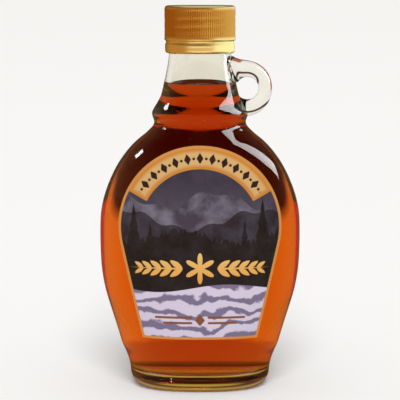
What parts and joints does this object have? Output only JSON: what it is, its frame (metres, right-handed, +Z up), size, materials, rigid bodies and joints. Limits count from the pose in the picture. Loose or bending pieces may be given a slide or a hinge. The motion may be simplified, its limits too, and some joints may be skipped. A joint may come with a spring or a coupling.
{
  "type": "maple syrup jug",
  "caption": "Oval glass flask of amber syrup with a finger loop beside its round neck, a knurled metal screw cap and an arched paper label.",
  "frame": {"origin": "middle of the foot, on the surface that the jug stands on", "axes": "+Z up along the neck, -Y towards the label, +X towards the finger loop"},
  "size_m": [0.081, 0.0513, 0.154],
  "materials": {
    "clear_glass": "clear flint glass, fire-polished",
    "amber_syrup": "clear amber-red syrup",
    "gold_cap": "gold-lacquered rolled sheet, satin",
    "front_label_paper": "printed paper with a satin varnish"
  },
  "bodies": {
    "root": {"glass_jug": "clear_glass", "syrup": "amber_syrup", "screw_cap": "gold_cap", "front_label": "front_label_paper"}
  },
  "joints": []
}
